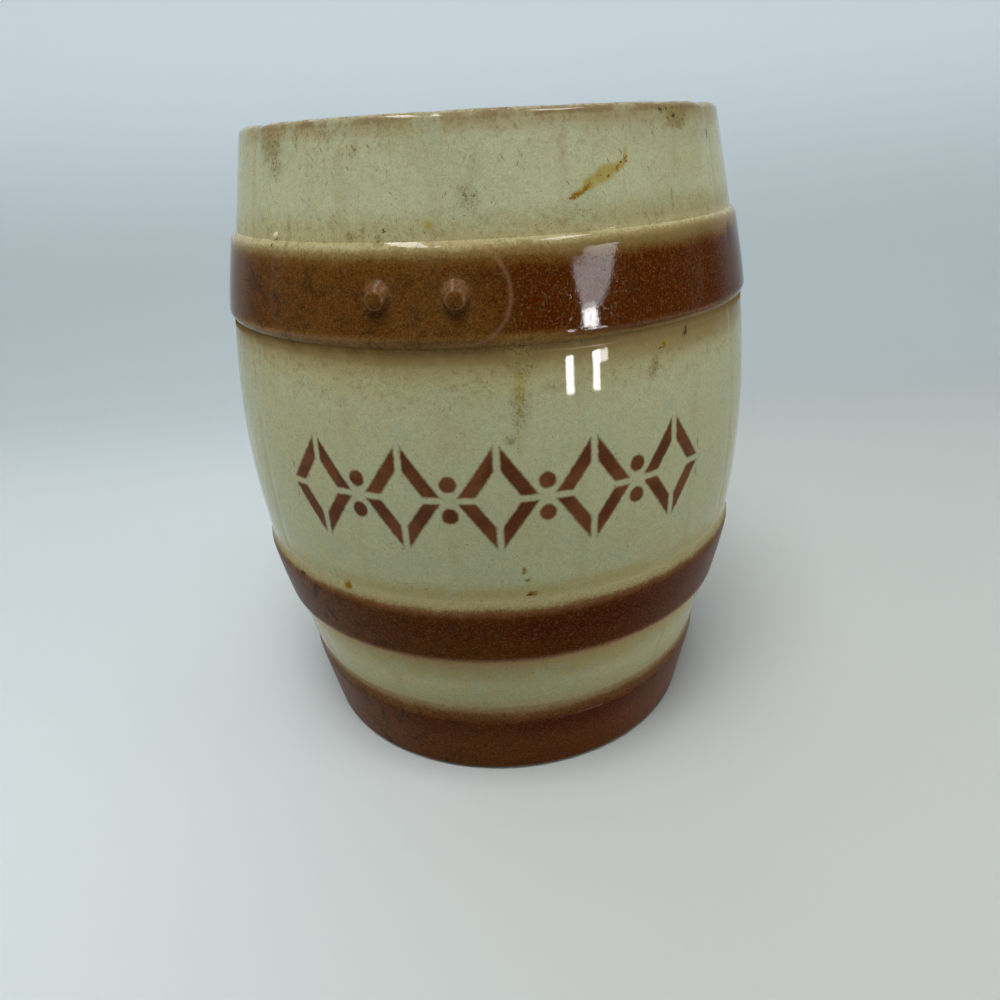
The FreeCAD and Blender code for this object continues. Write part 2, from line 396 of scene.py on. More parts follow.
tones = {
    # creamPaintedTopLight is the cream painted a little paler toward the top, as painted light from above
    "cream": paint(157, 158, 124), "creamPaintedTopLight": paint(162, 163, 129), "creamWarm": paint(154, 150, 110),
    "greenish": paint(150, 156, 126), "olive": paint(141, 131, 91), "tan": paint(119, 100, 61),
    "tanDeep": paint(101, 81, 46), "thinEdge": paint(122, 90, 42), "umber": paint(92, 60, 22),
    "tanLow": paint(128, 108, 74), "umberLow": paint(94, 62, 33), "dimLow": paint(150, 140, 102),
    "brown": paint(68, 27, 0), "brownThin": paint(88, 58, 20), "shoulder": paint(157, 147, 107),
    "dim": paint(150, 140, 92), "sandy": paint(152, 130, 86), "waist": paint(163, 156, 117),
    "deepBrown": paint(64, 19, 0), "footBrown": paint(82, 39, 10), "lipTint": paint(140, 124, 88),
    "lipEdge": paint(106, 86, 60), "lipCrest": paint(164, 156, 126), "paleWearAndHighlight": paint(142, 108, 78),
    # bead is a pale cream: the bead's thick glaze, and partly its painted highlight
    # paintedSheen is a painted sheen: the low brown made paler and pinker toward both sides
    "paintedSheen": paint(104, 76, 66), "bead": paint(196, 192, 160), "rust": paint(120, 82, 12),
    "ochre": paint(142, 124, 46), "scorch": paint(118, 106, 62), "scorchSpot": paint(78, 62, 26),
    "hair": paint(88, 78, 44), "soot": paint(46, 30, 12), "clay": paint(176, 158, 132),
    "inkLight": paint(94, 54, 28), "inkDeep": paint(76, 38, 16),
}

# colours up the jar, by height
toneHeights = [
    (10, "footBrown"), (19.2, "deepBrown"), (22.6, "umberLow"), (24.4, "tanLow"), (26.6, "dimLow"),
    (29.6, "creamWarm"), (33.5, "waist"), (39, "dim"), (42.2, "sandy"), (44.6, "brown"),
    (50, "brown"), (53, "deepBrown"), (56.4, "deepBrown"), (58.2, "brown"), (60.2, "umberLow"),
    (61.8, "olive"), (63.4, "shoulder"), (65.3, "dim"), (69.5, "cream"), (109, "cream"),
    (115, "creamWarm"), (118, "olive"), (119.9, "tan"), (121.5, "tanDeep"), (123.4, "thinEdge"),
    (125.9, "brown"), (136.8, "brown"), (138.8, "umber"), (140.5, "tan"), (142, "shoulder"),
    # the top stop is painted paler: painted light from above
    (144.6, "creamWarm"), (149.5, "creamPaintedTopLight"),
]

lozenges = {"count": 5, "pitch": 21.5, "halfWidth": 7.4, "halfHeight": 10.4, "stroke": 3.2, "bridge": 0.75,
            "centreHeight": 90, "dotRadius": 1.9, "dotRise": 3.8, "round": 0.6}


def lozengeShape(desk, theta, z):
    # signed distance in mm. Outline: | |u|/halfWidth + |v|/halfHeight - 1 | made a distance, less half the
    # stroke, with a bridge cut through each corner; pairs of dots stand between the lozenges
    row = lozenges
    around = desk.times(theta, barrel["bellyRadius"])
    u = desk.calc("ABSOLUTE", desk.calc("WRAP", around, row["pitch"] / 2, -row["pitch"] / 2))
    v = desk.calc("ABSOLUTE", desk.minus(z, row["centreHeight"]))
    toDistance = row["halfWidth"] * row["halfHeight"] / math.hypot(row["halfWidth"], row["halfHeight"])
    across, up = desk.calc("DIVIDE", u, row["halfWidth"]), desk.calc("DIVIDE", v, row["halfHeight"])
    off = desk.minus(desk.plus(across, up), 1)
    line = desk.minus(desk.calc("ABSOLUTE", desk.times(off, toDistance)), row["stroke"] / 2)
    gap = desk.minus(row["bridge"], desk.calc("MINIMUM", u, v))
    line = desk.calc("SMOOTH_MAX", line, gap, row["round"])
    fromDot, dotUp = desk.minus(row["pitch"] / 2, u), desk.minus(v, row["dotRise"])
    dot = desk.calc("SQRT", desk.plus(desk.times(fromDot, fromDot), desk.times(dotUp, dotUp)))
    shape = desk.calc("MINIMUM", line, desk.minus(dot, row["dotRadius"]))
    lastTip = row["pitch"] * (row["count"] - 1) / 2 + row["halfWidth"] + row["stroke"] / 2
    return desk.most(shape, desk.minus(desk.calc("ABSOLUTE", around), lastTip))


# noise over the place in mm: scale, detail, roughness
noises = {
    "slow": (0.035, 3), "middle": (0.16, 3), "fine": (0.9, 3, 0.65), "grain": (2.6, 2, 0.8),
    "crest": (0.7, 4, 0.8), "murk": (0.26, 5, 0.75), "flecks": (1.7, 3, 0.8), "mist": (0.55, 5, 0.8),
    "specks": (0.31, 1), "brush": (0.12, 2, 0.6), "spots": (1.5, 4, 0.8), "pits": (0.6, 2),
}
stirs = {"middle": 1.5, "fine": 1, "grain": 1.3}  # how far, in mm, they move the heights of colours
cellScales = {"speckCells": 0.6, "pitCells": 1.9}
mottles = {"grain": (0.8, 2.6), "fine": (0.34, 1)}  # strength in the cream and in the brown
hairSets = ((0.65, 0.88, 0.49), (-0.5, 1.02, 0.53), (0.1, 1.3, 0.51))  # slant, scale, least patch noise
hairCrowd = ([("side", 0.3, -0.56, -0.05, 0.04)], [("z", 95, 150, -0.05, 0.03)], ["scorch", 0.12])
finish = {
    "plainHeight": 151,  # the inside has the cream of this height from top to bottom
    "haloTurn": 0.12,  # the brown under the upper hoop is widest this far left of the front, in radians
    "ragged": 0.9, "inkRagged": 0.5,  # how far noise tears at the edges of stains and print
    "hairStretch": 5, "hairPatch": 0.1,
    "dull": 0.14, "bareRoughness": 0.8,  # least roughness added below the belly; that of bare clay
    "bump": {"Strength": 0.3, "Distance": 0.0004},
}

# A part is a number, a field's name, or a fade: a field, its values where the fade starts and is full, and
# the strengths there if not 0 and 1. Of the fields, z is the height, stirred the same moved by noise, side
# runs from -1 at the left to 1 at the right, and away is the angle in radians from the halo's middle.


def band(start, full, thinning, end):
    return ("stirred", start, full), ("stirred", end, thinning)


# fields that are the greatest of some products of parts, worked out in this order
unions = {
    "brown": [band(42.6, 44.6, 57.5, 60.6), band(119.6, 124.5, 136.5, 140.6), [("stirred", 25, 20.5)]],
    "tinted": [band(37, 42, 62, 66), band(113, 118, 142, 146), [("stirred", 31, 26)]],
    "near": [band(104, 119, 126, 127), band(138, 141, 142, 151), [("stirred", 153, 164)], [0.12]],
    "ledge": [band(114, 119, 122, 124.5), band(138, 140.5, 141.6, 142.4),
              ["near", ("z", 143, 144.5, 0, 0.5)]],
    "mask": [[("print", 0.42, -0.38), ("grain", 0.25, 0.5, 0.9, 1)]],
    "inked": [["brown"], ["mask"]],
    "halo": [[("away", 0.15, 0.65, 0, 0.9), ("z", 122.9, 122.3), ("z", 100, 114)]],
    "droop": [[("side", 0.1, 0.5, 0, 1.9), ("z", 122.4, 123.8), ("z", 129, 126.5)]],
    "bare": [[("facing", -0.75, -0.95), ("z", 3, 1.2)]],
    "crease": [[("z", 120.7, 121.1), ("z", 122.9, 122.6)]],
    "pitted": [[("pitCells", 0.44, 0.26), ("pits", 0.46, 0.56), "inked"]],
}
toRight = ("side", 0.02, 0.64, 0, 0.62)

# layers over the colour by height: a tone, or two and the part that blends them; then the amount's parts
layersBelow = [
    # the lip: a tint under it, a brown line over its outer edge, a pale crest
    ("lipTint", ("stirred", 160, 163.4), ("slow", 0.35, 0.6, 0.4, 1)),
    ("lipEdge", ("z", 163, 163.9), ("middle", 0.35, 0.6, 0.3, 0.9)),
    (("lipCrest", "lipEdge", ("crest", 0.4, 0.62)), ("z", 164.3, 164.8)),
    # warm clouds and greenish ones; the brown thinner at the left, tinted pale plum low down at both sides as
    # a painted sheen, and murky
    ("creamWarm", ("slow", 0.48, 0.68, 0, 0.5), "plain"),
    ("greenish", ("middle", 0.52, 0.34, 0, 0.5), "plain"),
    ("brownThin", ("side", 0.14, -0.06, 0, 0.7), ("slow", 0.3, 0.6, 0.5, 1),
     ("z", 66, 118, 0.35, 1), "brown"),
    # painted sheen: a pale plum over the low brown, stronger toward both sides
    ("paintedSheen", ("aside", 0.35, 0.95, 0, 0.42), "brown", ("z", 68, 62)),
    ("soot", ("murk", 0.5, 0.64), ("side", 0.2, -0.56, 0.22, 0.8), "brown"),
]
layersAbove = [
    ("tan", ("flecks", 0.5, 0.66), "brown", 0.3),
    # brown dust over the cream near the hoops and the lip, and a tan tint on the ledges, toward the right
    ("tan", ("mist", 0.48, 0.66), "near", "cream", 0.62),
    ("tan", toRight, "ledge", ("brown", 1, 0.5)),
    ("tanDeep", toRight, *band(138.6, 139.8, 141, 142), 0.5),
    # specks; short hair-like dashes at several slants; the seams' stain
    ("soot", ("speckCells", 0.13, 0.06), ("specks", 0.55, 0.59), 0.6),
    *[("hair", (f"hair{slant}", 0.15, 0.06), "cream", (f"patch{slant}", low, low + 0.08), 0.75)
      for slant, scale, low in hairSets],
    ("olive", "seam", ("middle", 0.35, 0.65, 0.1, 1), "cream", 0.35),
    # the stencilled row, from an unevenly laden brush
    (("inkLight", "inkDeep", ("brush", 0.4, 0.62)), "mask"),
    # stains, and dark spots in the scorches
    ("ochre", ("ochreTorn", 0.28, 0.75), ("ochre", 0.04, 0.25), 0.8),
    ("scorch", ("scorchTorn", 0.3, 0.95), ("scorch", 0.04, 0.25), 0.7),
    ("rust", ("rustTorn", 0.35, 0.7), ("rust", 0.04, 0.25), 0.9),
    ("soot", ("sootTorn", 0.42, 0.66), ("soot", 0.04, 0.25), 0.85),
    ("scorchSpot", ("spots", 0.54, 0.64), ("scorch", 0.12, 0.6, 0, 0.85)),
    # worn edges of the lap, the rivet feet and caps; painted highlights on the rivets' upper flanks and, over
    # worn glaze, on the hoops' lower corners; the bead, partly its painted highlight; bare clay underneath
    ("paleWearAndHighlight", "wearAndPaintedLight", ("fine", 0.3, 0.6, 0.6, 1)),
    ("bead", "bead"),
    ("clay", "bare"),
]


class GlazeDesk(NodeDesk):
    # with the fields by name

    def __init__(self, owner):
        super().__init__(owner)
        where = {0: self.add("TexCoord").outputs["Object"], 1: (1 / mm,) * 3}
        self.place = self.add("VectorMath", where, operation="MULTIPLY").outputs[0]
        x, y, height = self.axes(self.place)
        theta = self.calc("ARCTAN2", x, self.times(y, -1))
        around = self.times(theta, barrel["bellyRadius"])
        self.sheet = self.add("CombineXYZ", {0: around, 1: height}).outputs[0]  # the outside rolled flat
        # the inside is cream all the way down, as the outside is at that height
        z = self.most(height, self.times(self.attribute("within"), finish["plainHeight"]))
        fields = {key: self.noise(self.place, *values) for key, values in noises.items()}
        fields.update({key: self.attribute(key) for key in (*stainFray, "seam", "wearAndPaintedLight", "bead")})
        side = self.calc("SINE", theta)
        fields.update({
            "z": z, "side": side, "aside": self.calc("ABSOLUTE", side),
            "away": self.calc("ABSOLUTE", self.plus(theta, finish["haloTurn"])),
            "facing": self.axes(self.add("NewGeometry").outputs["Normal"])[2],
            "stirred": self.plus(z, *[self.centred(fields[key], far) for key, far in stirs.items()]),
            "speckCells": self.cells(self.sheet, cellScales["speckCells"]),
            "pitCells": self.cells(self.place, cellScales["pitCells"]),
        })
        uneven = self.centred(fields["fine"], finish["inkRagged"])
        fields["print"] = self.plus(lozengeShape(self, theta, z), uneven)
        torn = self.plus(*[self.centred(fields[key], finish["ragged"]) for key in ("fine", "grain")])
        for kind, fray in stainFray.items():
            fields[kind + "Torn"] = self.plus(fields[kind], self.times(torn, fray))
        self.fields = fields
        self.addHairs()
        for key, products in unions.items():
            fields[key] = self.most(*map(self.product, products))
        fields["cream"] = self.minus(1, fields["brown"])
        fields["plain"] = self.minus(1, fields["tinted"])

    def addHairs(self):
        # most of them lie up on the left, and in the scorches, by the crowd's products of parts
        crowd = self.plus(*map(self.product, hairCrowd))
        for slant, scale, low in hairSets:
            inputs = {"Vector": self.sheet, "Rotation": (0, 0, slant),
                      "Scale": (1, finish["hairStretch"], 1)}
            stretched = self.add("Mapping", inputs, vector_type="TEXTURE").outputs[0]
            self.fields[f"hair{slant}"] = self.cells(stretched, scale)
            patch = self.noise(self.place, finish["hairPatch"] + scale / 12)
            self.fields[f"patch{slant}"] = self.plus(patch, crowd)

    def part(self, part):
        if isinstance(part, tuple):
            return self.between(self.fields[part[0]], *part[1:])
        return self.fields[part] if isinstance(part, str) else part

    def product(self, parts):
        return self.times(*map(self.part, parts))

    def colourByHeight(self):
        # the brown reaches less far down away from the halo's middle, and further at the right
        top = barrel["rimHeight"]
        looked = self.minus(self.fields["stirred"], self.minus(self.fields["halo"], self.fields["droop"]))
        stops = [(height / top, tones[tone]) for height, tone in toneHeights]
        return self.ramp(self.calc("DIVIDE", looked, top), stops)

    def lay(self, colour, layers):
        for tone, *parts in layers:
            if isinstance(tone, tuple):
                first, second, blend = tone
                over = self.mix(self.part(blend), tones[first], tones[second])
            else:
                over = tones[tone]
            colour = self.mix(self.product(parts), colour, over)
        return colour

    def mottle(self, colour):
        shade = 1.0
        for key, strengths in mottles.items():
            strength = self.part(("brown", 0, 1, *strengths))
            shade = self.plus(self.times(self.centred(self.fields[key], 1), strength), shade)
        gray = self.add("CombineColor", {0: shade, 1: shade, 2: shade}).outputs[0]
        return self.mix(1, colour, gray, "MULTIPLY")

    def roughness(self, rub):
        # glossy; duller low down, and quite matt in the crease under the upper hoop, where dirt lies
        low = self.part(("z", 66, 60, rub, max(rub, finish["dull"])))
        return self.most(self.plus(self.part(("middle", 0.3, 0.7, 0.02, 0.05)), low), self.fields["crease"],
                         self.product(["bare", finish["bareRoughness"]]))

    def bump(self):
        height = self.plus(self.product(["middle", 0.12]), self.product(["fine", 0.02]))
        height = self.minus(height, self.product(["pitted", 0.05]))
        height = self.plus(height, self.product(["grain", "inked", 0.036]))
        return self.add("Bump", {"Height": height, **finish["bump"]}).outputs[0]


def glaze(name, index, rub=0):
    desk = GlazeDesk(bpy.data.materials.new(name))
    colour = desk.lay(desk.mottle(desk.lay(desk.colourByHeight(), layersBelow)), layersAbove)
    inputs = {"Base Color": colour, "Roughness": desk.roughness(rub), "Normal": desk.bump(), "IOR": index}
    return desk.finish(inputs)


# index of refraction, then added roughness: the brown is less glossy, and dull where hands and cloths rub it
creamGlaze = glaze("creamGlaze", 1.17)
brownGlaze = glaze("brownGlaze", 1.15)
rubbedGlaze = glaze("rubbedGlaze", 1.08, 0.26)
rivetGlaze = glaze("rivetGlaze", 1.1, 0.22)
print("glazes made")


# ---- barrel wall ----

wallMesh = {
    "fine": 1, "coarse": 2.6,  # between columns, in front and behind
    "visibleStep": 0.72, "hiddenStep": 3,  # between rows, in sight and behind the hoops
    "tuck": 1,  # rows stay close this far in behind a hoop
    "cornerRows": 8, "insideRows": 34,
}


def roundedCorner(before, at, after, radius, count):
    # points on the arc of that radius that touches both runs into the corner
    before, at, after = np.array(before), np.array(at), np.array(after)
    toBefore = (before - at) / np.linalg.norm(before - at)
    toAfter = (after - at) / np.linalg.norm(after - at)
    half = math.acos(float(np.dot(toBefore, toAfter))) / 2
    bisector = toBefore + toAfter
    centre = at + bisector / np.linalg.norm(bisector) * radius / math.sin(half)
    first = at + toBefore * radius / math.tan(half) - centre
    last = at + toAfter * radius / math.tan(half) - centre
    sweep = math.pi - 2 * half
    turn = np.linspace(0, sweep, count)[:, None]
    return centre + (first * np.sin(sweep - turn) + last * np.sin(turn)) / math.sin(sweep)


def insideRadius(height):
    return radiusAt(height) - barrel["wall"] / leanAt(height)


def undersidePath():
    # radius and height from the recess's middle over the foot ring to the foot's rounded corner
    ring, depth = barrel["ringInner"], barrel["recessDepth"]
    recess = [(ring * share, depth) for share in (0.3, 0.6, 0.9)]
    step = roundedCorner((0, depth), (ring - 1.4, depth), (ring - 0.4, 0), 0.6, 4)
    sole = [(ring, 0.25), (ring + 0.5, 0), (ring + 4, 0)]
    corner = roundedCorner((ring, 0), (radiusAt(0), 0), (radiusAt(10), 10), barrel["footRound"], 5)
    return np.concatenate([recess, step, sole, corner])


def outsidePath():
    # on up the outside to the rim, with close rows where it shows
    tuck, rim = wallMesh["tuck"], barrel["rimHeight"]
    foot, lower, upper = [nodeHeights(node) for node in ("foot_hoop", "lower_hoop", "upper_hoop")]
    edges = [1.6, foot[1] - tuck, lower[0] + tuck, lower[1] - tuck, upper[0] + tuck, upper[1] - tuck,
             rim - 2.6]
    steps = (wallMesh["hiddenStep"], wallMesh["visibleStep"]) * 3
    heights = np.concatenate([np.arange(*run) for run in zip(edges, edges[1:], steps)])
    return np.stack([staveRadius(heights), heights], axis=-1)


def lipPath(outsideEnd):
    rim, below = barrel["rimHeight"], barrel["rimHeight"] - 20.0
    rimOut, rimIn = (radiusAt(rim), rim), (insideRadius(rim), rim)
    count = wallMesh["cornerRows"]
    return (roundedCorner(outsideEnd, rimOut, rimIn, barrel["lipOuterRound"], count),
            roundedCorner(rimOut, rimIn, (insideRadius(below), below), barrel["lipInnerRound"], count))


def insidePath():
    # down the inside and in over the floor
    floor = barrel["floorTop"]
    top, end = barrel["rimHeight"] - 5, floor + barrel["floorCorner"] + 2.0
    heights = np.linspace(top, end, wallMesh["insideRows"])
    run = np.array([(insideRadius(height), height) for height in heights])
    corner = (insideRadius(floor), floor)
    bend = roundedCorner(run[-1], corner, (0, floor), barrel["floorCorner"], wallMesh["cornerRows"])
    return np.concatenate([run, bend, [(corner[0] * share, floor) for share in (0.66, 0.4, 0.2)]])


def makeBarrelWall():
    underside, outside = undersidePath(), outsidePath()
    lipOut, lipIn = lipPath(outside[-1])
    path = np.concatenate([underside, outside, lipOut, lipIn, insidePath()])
    first = len(underside)
    last = first + len(outside) + len(lipOut)

    theta = roundColumns(wallMesh["fine"], wallMesh["coarse"])
    radius, z = path[:, :1], path[:, 1:]
    rows, across = len(path), theta.size
    relief = np.zeros((rows, across))
    relief[first:last] = staveRelief(theta, z[first:last])
    relief[last:] = wobble["inside"] * wobbleAt(theta, z[last:])
    radius = radius + relief
    rim = barrel["rimHeight"]
    sag = sum(dip * bell(np.radians(angleGap(theta, angle)) * radiusAt(rim), seams["dipWidth"])
              for angle, dip in seams["rimDip"].items())
    nearRim = softStep((z - (rim - seams["dipHeight"])) / (seams["dipHeight"] - 1))
    angle = np.radians(theta)
    points = np.stack([radius * np.sin(angle), -radius * np.cos(angle), z - sag * nearRim], axis=-1)
    poles = [[0, 0, barrel["recessDepth"]], [0, 0, barrel["floorTop"]]]

    outsideOnly, within = np.zeros((rows, 1)), np.zeros((rows, across))
    outsideOnly[first:last] = 1.0
    within[last:] = 1.0
    fields = {kind: withPoles(stainField(kind, theta, z) * outsideOnly) for kind in stainFray}
    fields["seam"] = withPoles(seamField(theta, z) * outsideOnly)
    fields["within"] = withPoles(within, (0, 1))
    makePiece("barrelWall", [points, poles], tubeFaces(rows, across, 1), fields, creamGlaze,
              "barrel_wall")


# ---- hoops ----

# relief at the lower and the upper edge; height over which each rises to it; strength and width of the pale
# line on the lower corner, partly worn glaze and partly a painted highlight
hoops = {
    "upper_hoop": {"name": "upperHoop", "relief": (1.1, 1.1), "edges": (1.8, 2.6), "wearAndHighlight": (0.3, 0.42)},
    "lower_hoop": {"name": "lowerHoop", "relief": (1.1, 1.1), "edges": (0.9, 5), "wearAndHighlight": (1, 0.8)},
    "foot_hoop": {"name": "footHoop", "relief": (1.6, 0.85), "edges": (0.7, 4.6), "wearAndHighlight": (0, 0.8)},
}

hoopDetail = {
    "lift": 0.05,  # both edges start this far above the stave face
    "tuck": 1.05,  # how far the hidden back lies inside the staves
    "seamEcho": 0.12,  # how much of a seam still shows through
    "seamStain": 0.4,
    "roundness": (1.7, 2.2),  # of the upper hoop's lower and upper shoulder
    "noCornerHighlight": 6, "cornerHighlightFade": 26,  # its lower corner has no pale line this near the front; the line, worn glaze with a painted highlight, grows toward the sides
    "fine": 0.9, "coarse": 2.4, "step": 0.7,  # between columns, in front and behind; between rows
    "shoulderRows": (10, 14), "backRows": 6,
}

lap = {"tipAngle": 4.05, "rise": 0.21, "endRadius": 9.7, "edge": 1.7, "fadeAngle": -30, "fadeRate": 1.15,
       "margin": 0.6, "columns": (-3, 6, 0.22)}


def upperRadius(height):
    # to the upper hoop's face
    return radiusAt(height) + hoops["upper_hoop"]["relief"][0]


def lapDistance(theta, z):
    # distance inside the rounded strap end; below 0 is outside
    low, high = nodeHeights("upper_hoop")
    middle = (low + high) / 2
    radius = upperRadius(middle)
    across = np.radians(angleGap(theta, 0)) * radius
    centre = math.radians(lap["tipAngle"]) * radius - lap["endRadius"]
    up = z - middle
    beyond = np.maximum(across - centre, 0)
    roundEnd = lap["endRadius"] - np.hypot(beyond, up)
    straight = (high - low) / 2 - lap["margin"] - np.abs(up)
    return np.minimum(roundEnd, straight)


def lapRelief(theta, z):
    # full height at the tip, running out to nothing on the left
    length = lap["tipAngle"] - lap["fadeAngle"]
    fade = softStep(angleGap(theta, lap["fadeAngle"]) / length * lap["fadeRate"])
    return lap["rise"] * fade * softStep(lapDistance(theta, z) / lap["edge"] + 0.5)


def roundStep(value, power):
    # 0 below 0, 1 above 1, and 1 - (1 - t)^power between: steep at once, then rounding over
    return 1.0 - (1.0 - np.clip(value, 0, 1)) ** power


def hoopOut(node, theta, z):
    # a straight face between S-shaped shoulders; those of the upper hoop are rounder
    low, high = nodeHeights(node)
    lowEdge, highEdge = hoops[node]["edges"]
    fromLow, fromHigh = (z - low) / lowEdge, (high - z) / highEdge
    if node == "upper_hoop":
        lowPower, highPower = hoopDetail["roundness"]
        rise = roundStep(fromLow, lowPower) * roundStep(fromHigh, highPower)
    else:
        rise = softStep(fromLow) * softStep(fromHigh)
    below, above = hoops[node]["relief"]
    face = below + (above - below) * (z - low) / (high - low)
    face = face + wobbleAt(theta, z) - hoopDetail["seamEcho"] * grooveDepth(theta, z)
    edge = hoopDetail["lift"] + staveRelief(theta, z)
    out = edge + (face - edge) * rise
    return out + lapRelief(theta, z) if node == "upper_hoop" else out


def makeHoop(node, material, extra=()):
    low, high = nodeHeights(node)
    lowEdge, highEdge = hoops[node]["edges"]
    lowRows, highRows = hoopDetail["shoulderRows"]
    up = np.concatenate([[low, low + 0.04], np.linspace(low, low + lowEdge, lowRows)[1:-1],
                         np.arange(low + lowEdge, high - highEdge, hoopDetail["step"]),
                         np.linspace(high - highEdge, high, highRows)[:-1], [high - 0.04, high]])[:, None]
    down = np.linspace(high, low, hoopDetail["backRows"])[:, None]
    theta = roundColumns(hoopDetail["fine"], hoopDetail["coarse"], extra)
    front = facePoints(theta, up, hoopOut(node, theta, up))
    back = facePoints(theta, down, -hoopDetail["tuck"])
    z = np.concatenate([up, down])

    fields = {kind: stainField(kind, theta, z) for kind in stainFray}
    fields["seam"] = hoopDetail["seamStain"] * seamField(theta, z)
    # the pale line on the lower corner: worn glaze with a painted highlight over it, which the upper hoop has
    # only toward its sides
    strength, width = hoops[node]["wearAndHighlight"]
    wearAndPaintedLight = strength * bell(z - low - min(0.95 * lowEdge, 1.4), width) * np.ones(theta.shape)
    if node == "upper_hoop":
        aside = np.abs(angleGap(theta, 0)) - hoopDetail["noCornerHighlight"]
        wearAndPaintedLight = np.maximum(wearAndPaintedLight * softStep(aside / hoopDetail["cornerHighlightFade"]), wornField(theta, z))
    fields["wearAndPaintedLight"] = wearAndPaintedLight
    faces = gridFaces(len(z), theta.size, True, True)
    makePiece(hoops[node]["name"], [front, back], faces, fields, material, node)


# ---- rivets ----

rivets = {
    "places": {"rivetLeft": ("hoop_rivet_left", -18.95), "rivetRight": ("hoop_rivet_right", -5.2)},
    "height": 132.6, "rise": 2.5, "radius": 2.75,
    "tip": 1.75,  # radius of the cap
    "reach": 0.25,  # the flank comes down to nothing this far outside the radius
    "flankRise": 0.85,  # share of the rise to which it climbs, were there no cap
    "capFall": 0.1,  # share of the rise by which the cap falls to its edge
    "capBlend": 3, "footBlend": 4,  # how sharply flank and cap meet, and the foot and both
    "footRise": 0.42, "footSink": 0.14, "footFall": 1.6,
    "flare": 0.8,  # the soft foot spreads this far
    "sunk": 0.05,
    "root": 0.5,  # the hidden back lies this deep in the hoop
    "droop": 0.5,  # the head points down by this much of its rise, out of level mould halves
    "nod": 0.16,  # and its cap looks down a little
    "capRows": 6, "flankRows": 28, "spokes": 56,
}

# pale lines: strength, place and width in mm; the lap's also the angle where it starts and its fade. The
# foot's place is counted from the rivet's radius, the cap's from its own, with less on the upper side
# the lap's and the rivet foot's and cap's lines are wear; the rivet flank's, on its upper side only, is
# painted top light
wearAndHighlight = {"lapEdge": (0.34, 0.1, 0.45, -14, 12), "rivetFoot": (0.1, 0.3, 0.6),
        "rivetFlankTopLight": (0.24, 2.5, 0.5), "rivetCap": (0.42, 0.12, 0.2), "capUpper": 0.22}

rivetRadius, rivetLean = upperRadius(rivets["height"]), leanAt(rivets["height"])


def rivetProfile(rho):
    # a blunt cone: a straight flank under a rounded cap, blended; a soft foot that ends below the hoop's face
    flank = (rivets["radius"] + rivets["reach"] - rho) / (rivets["radius"] - rivets["tip"])
    cone = rivets["rise"] * rivets["flankRise"] * flank
    cap = rivets["rise"] * (1.0 - rivets["capFall"] * (rho / rivets["tip"]) ** 2)
    k = rivets["capBlend"]
    body = -np.log(np.exp(-k * cone) + np.exp(-k * cap)) / k
    beyond = np.maximum(rho - rivets["radius"] + 0.4, 0)
    foot = rivets["footRise"] * np.exp(-beyond / rivets["flare"] * rivets["footFall"]) - rivets["footSink"]
    k = rivets["footBlend"]
    return np.log(np.exp(k * body) + np.exp(k * foot)) / k - rivets["sunk"]


def wornField(theta, z):
    # pale lines along the lap's edge and round each rivet
    strength, at, width, start, fade = wearAndHighlight["lapEdge"]
    edge = strength * bell(lapDistance(theta, z) - at, width) * softStep(angleGap(theta, start) / fade)
    strength, at, width = wearAndHighlight["rivetFoot"]
    for _, angle in rivets["places"].values():
        across = np.radians(angleGap(theta, angle)) * rivetRadius
        rho = np.hypot(across, (z - rivets["height"]) / rivetLean)
        edge = np.maximum(edge, strength * bell(rho - rivets["radius"] - at, width))
    return edge


def makeRivet(name, node, angle):
    tip, reach = rivets["tip"], rivets["radius"] + rivets["flare"] + 0.4
    rho = np.concatenate([np.linspace(0.25, tip - 0.4, rivets["capRows"]),
                          np.linspace(tip - 0.25, reach, rivets["flankRows"])])[:, None]
    backRho = rho[::-1][::5]
    spin = np.linspace(0, 2.0 * math.pi, rivets["spokes"], endpoint=False)[None, :]
    middle = np.zeros((1, 1))

    def place(distance, lift):
        nod = rivets["nod"] * np.cos(spin) * np.minimum(distance, tip)
        lift = lift + nod * np.clip(lift / rivets["rise"], 0, 1)
        theta = angle + np.degrees(distance * np.sin(spin) / rivetRadius)
        z = rivets["height"] + distance * np.cos(spin) * rivetLean
        points = facePoints(theta, z, hoopOut("upper_hoop", theta, z) + lift)
        points[..., 2] -= rivets["droop"] * np.maximum(lift, 0)
        return points

    grid = np.concatenate([place(rho, rivetProfile(rho)), place(backRho, -rivets["root"])])
    top, bottom = place(middle, rivetProfile(middle))[0, :1], place(middle, -rivets["root"])[0, :1]
    distance = np.concatenate([rho, backRho])
    upward = 0.5 + 0.5 * np.cos(spin)  # 1 on the upper side, 0 below: the flank's pale ring is there only, as painted top light
    strength, at, width = wearAndHighlight["rivetFlankTopLight"]
    pale = strength * upward * bell(distance - at, width)
    strength, at, width = wearAndHighlight["rivetCap"]
    pale = pale + (strength - wearAndHighlight["capUpper"] * upward) * bell(distance - tip - at, width)
    faces = tubeFaces(*grid.shape[:2], -1)
    fields = {"wearAndPaintedLight": withPoles(pale)}
    makePiece(name, [grid, top, bottom], faces, fields, rivetGlaze, node)


# ---- a bead of glaze above the upper hoop ----

# the bead is painted a pale cream: its thick glaze, and partly its painted highlight
bead = {"angle": -43.9, "height": 143.4, "radius": 0.7, "length": 0.74, "sunk": 0.05, "flatness": 0.8,
        "taper": 0.12, "shine": 0.9, "rings": 14, "spokes": 24}


